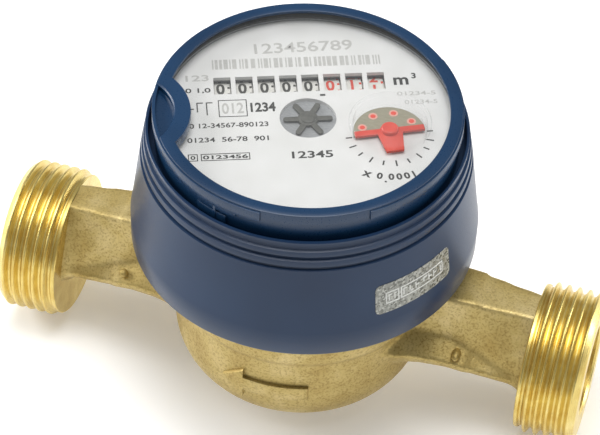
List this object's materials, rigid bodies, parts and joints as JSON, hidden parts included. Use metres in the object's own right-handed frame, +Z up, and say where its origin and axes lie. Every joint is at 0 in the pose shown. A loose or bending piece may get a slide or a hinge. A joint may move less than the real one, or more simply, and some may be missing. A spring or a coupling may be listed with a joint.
{
  "type": "water meter",
  "caption": "Cold water meter with threaded brass pipe ends, blue round case and a dial of number rollers with a red litre pointer.",
  "frame": {"origin": "centre of the flat pad under the brass body, on the surface it stands on", "axes": "+X along the pipe from the outlet to the inlet, +Z up through the dial"},
  "size_m": [0.13, 0.0734, 0.0762],
  "materials": {
    "cast_brass": "as-cast and machined brass",
    "turned_brass": "turned brass",
    "steel": "ground stainless steel",
    "blue_plastic": "moulded, satin",
    "blue_bezel": "moulded, low gloss",
    "clear_plastic": "clear moulded window",
    "dial_white": "white printed plastic",
    "frame_plastic": "light grey moulded",
    "natural_plastic": "unpigmented acetal",
    "star_grey": "dark grey moulded",
    "red_plastic": "red moulded",
    "sensor_foil": "matt beige metallised disc",
    "rubber": "black seal rubber",
    "label_foil": "matt silver foil",
    "ferrite": "sintered ferrite magnet",
    "jewel": "synthetic ruby",
    "zinc_steel": "zinc plated"
  },
  "bodies": {
    "meter_body": {"brass_body": "cast_brass", "inlet_strainer": "natural_plastic", "lower_pivot_pin": "steel", "plate_seal_ring": "rubber", "separating_plate": "natural_plastic", "clamping_ring": "turned_brass", "shield_ring": "zinc_steel", "upper_bearing_bush": "jewel"},
    "impeller_body": {"impeller": "natural_plastic", "impeller_jewel": "jewel", "impeller_magnet": "ferrite", "impeller_top_pivot": "steel"},
    "register": {"outer_casing": "blue_plastic", "bezel_ring": "blue_bezel", "tamper_label": "label_foil", "register_housing": "natural_plastic", "window_gasket": "rubber", "register_window": "clear_plastic", "lower_frame_plate": "frame_plastic", "train_plate": "frame_plastic", "train_posts": "steel", "relay_stud": "steel", "frame_pillars": "turned_brass", "upper_frame_plate": "frame_plastic", "frame_screws": "zinc_steel", "dial_plate": "dial_white", "left_roller_bracket": "frame_plastic", "right_roller_bracket": "frame_plastic", "roller_shaft": "steel", "pinion_shaft": "steel"},
    "follower": {"follower_rotor": "natural_plastic", "follower_magnet": "ferrite", "star_indicator": "star_grey"},
    "idler": {"idler_gear": "natural_plastic"},
    "pointer": {"pointer_gear": "natural_plastic", "inductive_half_disc": "sensor_foil", "litre_pointer": "red_plastic"},
    "relay": {"relay_gear": "natural_plastic"},
    "drive": {"drive_spindle": "natural_plastic"},
    "digit_1": {"number_wheel_1": "dial_white"},
    "digit_2": {"number_wheel_2": "dial_white"},
    "digit_3": {"number_wheel_3": "dial_white"},
    "digit_4": {"number_wheel_4": "dial_white"},
    "digit_5": {"number_wheel_5": "dial_white"},
    "digit_6": {"number_wheel_6": "dial_white"},
    "digit_7": {"number_wheel_7": "dial_white"},
    "digit_8": {"number_wheel_8": "dial_white", "units_crown": "natural_plastic"},
    "carry_1": {"transfer_pinion_1": "natural_plastic"},
    "carry_2": {"transfer_pinion_2": "natural_plastic"},
    "carry_3": {"transfer_pinion_3": "natural_plastic"},
    "carry_4": {"transfer_pinion_4": "natural_plastic"},
    "carry_5": {"transfer_pinion_5": "natural_plastic"},
    "carry_6": {"transfer_pinion_6": "natural_plastic"},
    "carry_7": {"transfer_pinion_7": "natural_plastic"}
  },
  "joints": [
    {"name": "register_turn", "type": "hinge", "parent": "meter_body", "child": "register", "pos_m": [0, 0, 0.04], "axis": [0, 0, 1], "continuous": true},
    {"name": "impeller_spin", "type": "hinge", "parent": "meter_body", "child": "impeller_body", "pos_m": [0, 0, 0.02], "axis": [0, 0, 1], "continuous": true},
    {"name": "follower_spin", "type": "hinge", "parent": "register", "child": "follower", "pos_m": [0, 0, 0.05], "axis": [0, 0, 1], "continuous": true},
    {"name": "idler_spin", "type": "hinge", "parent": "register", "child": "idler", "pos_m": [0.00817, -0.00301, 0.052], "axis": [0, 0, 1], "continuous": true},
    {"name": "pointer_spin", "type": "hinge", "parent": "register", "child": "pointer", "pos_m": [0.01707, 0.0006, 0.052], "axis": [0, 0, 1], "continuous": true},
    {"name": "relay_spin", "type": "hinge", "parent": "register", "child": "relay", "pos_m": [0.01665, 0.00701, 0.052], "axis": [0, 0, 1], "continuous": true},
    {"name": "drive_spin", "type": "hinge", "parent": "register", "child": "drive", "pos_m": [0.01598, 0.01747, 0.052], "axis": [0, 0, 1], "continuous": true},
    {"name": "digit_1_spin", "type": "hinge", "parent": "register", "child": "digit_1", "pos_m": [-0.01954, 0.00348, 0.0633], "axis": [0.9304, 0.3665, 0], "continuous": true},
    {"name": "digit_2_spin", "type": "hinge", "parent": "register", "child": "digit_2", "pos_m": [-0.01529, 0.00515, 0.0633], "axis": [0.9304, 0.3665, 0], "continuous": true},
    {"name": "digit_3_spin", "type": "hinge", "parent": "register", "child": "digit_3", "pos_m": [-0.01105, 0.00683, 0.0633], "axis": [0.9304, 0.3665, 0], "continuous": true},
    {"name": "digit_4_spin", "type": "hinge", "parent": "register", "child": "digit_4", "pos_m": [-0.00681, 0.0085, 0.0633], "axis": [0.9304, 0.3665, 0], "continuous": true},
    {"name": "digit_5_spin", "type": "hinge", "parent": "register", "child": "digit_5", "pos_m": [-0.00256, 0.01017, 0.0633], "axis": [0.9304, 0.3665, 0], "continuous": true},
    {"name": "digit_6_spin", "type": "hinge", "parent": "register", "child": "digit_6", "pos_m": [0.00168, 0.01184, 0.0633], "axis": [0.9304, 0.3665, 0], "continuous": true},
    {"name": "digit_7_spin", "type": "hinge", "parent": "register", "child": "digit_7", "pos_m": [0.00592, 0.01351, 0.0633], "axis": [0.9304, 0.3665, 0], "continuous": true},
    {"name": "digit_8_spin", "type": "hinge", "parent": "register", "child": "digit_8", "pos_m": [0.01016, 0.01518, 0.0633], "axis": [0.9304, 0.3665, 0], "continuous": true},
    {"name": "carry_1_spin", "type": "hinge", "parent": "register", "child": "carry_1", "pos_m": [-0.01987, 0.01055, 0.05895], "axis": [0.9304, 0.3665, 0], "continuous": true},
    {"name": "carry_2_spin", "type": "hinge", "parent": "register", "child": "carry_2", "pos_m": [-0.01562, 0.01222, 0.05895], "axis": [0.9304, 0.3665, 0], "continuous": true},
    {"name": "carry_3_spin", "type": "hinge", "parent": "register", "child": "carry_3", "pos_m": [-0.01138, 0.01389, 0.05895], "axis": [0.9304, 0.3665, 0], "continuous": true},
    {"name": "carry_4_spin", "type": "hinge", "parent": "register", "child": "carry_4", "pos_m": [-0.00714, 0.01556, 0.05895], "axis": [0.9304, 0.3665, 0], "continuous": true},
    {"name": "carry_5_spin", "type": "hinge", "parent": "register", "child": "carry_5", "pos_m": [-0.0029, 0.01723, 0.05895], "axis": [0.9304, 0.3665, 0], "continuous": true},
    {"name": "carry_6_spin", "type": "hinge", "parent": "register", "child": "carry_6", "pos_m": [0.00135, 0.0189, 0.05895], "axis": [0.9304, 0.3665, 0], "continuous": true},
    {"name": "carry_7_spin", "type": "hinge", "parent": "register", "child": "carry_7", "pos_m": [0.00559, 0.02057, 0.05895], "axis": [0.9304, 0.3665, 0], "continuous": true}
  ],
  "couplings": [
    {"joint": "follower_spin", "follows": "impeller_spin", "ratio": 1},
    {"joint": "idler_spin", "follows": "impeller_spin", "ratio": -0.16667},
    {"joint": "pointer_spin", "follows": "impeller_spin", "ratio": 0.033333},
    {"joint": "relay_spin", "follows": "impeller_spin", "ratio": -0.0088889},
    {"joint": "drive_spin", "follows": "impeller_spin", "ratio": 0.0083333},
    {"joint": "digit_1_spin", "follows": "impeller_spin", "ratio": -0.00000000033333},
    {"joint": "digit_2_spin", "follows": "impeller_spin", "ratio": -0.0000000033333},
    {"joint": "digit_3_spin", "follows": "impeller_spin", "ratio": -0.000000033333},
    {"joint": "digit_4_spin", "follows": "impeller_spin", "ratio": -0.00000033333},
    {"joint": "digit_5_spin", "follows": "impeller_spin", "ratio": -0.0000033333},
    {"joint": "digit_6_spin", "follows": "impeller_spin", "ratio": -0.000033333},
    {"joint": "digit_7_spin", "follows": "impeller_spin", "ratio": -0.00033333},
    {"joint": "digit_8_spin", "follows": "impeller_spin", "ratio": -0.0033333},
    {"joint": "carry_1_spin", "follows": "impeller_spin", "ratio": 0.00000000083333},
    {"joint": "carry_2_spin", "follows": "impeller_spin", "ratio": 0.0000000083333},
    {"joint": "carry_3_spin", "follows": "impeller_spin", "ratio": 0.000000083333},
    {"joint": "carry_4_spin", "follows": "impeller_spin", "ratio": 0.00000083333},
    {"joint": "carry_5_spin", "follows": "impeller_spin", "ratio": 0.0000083333},
    {"joint": "carry_6_spin", "follows": "impeller_spin", "ratio": 0.000083333},
    {"joint": "carry_7_spin", "follows": "impeller_spin", "ratio": 0.00083333}
  ]
}
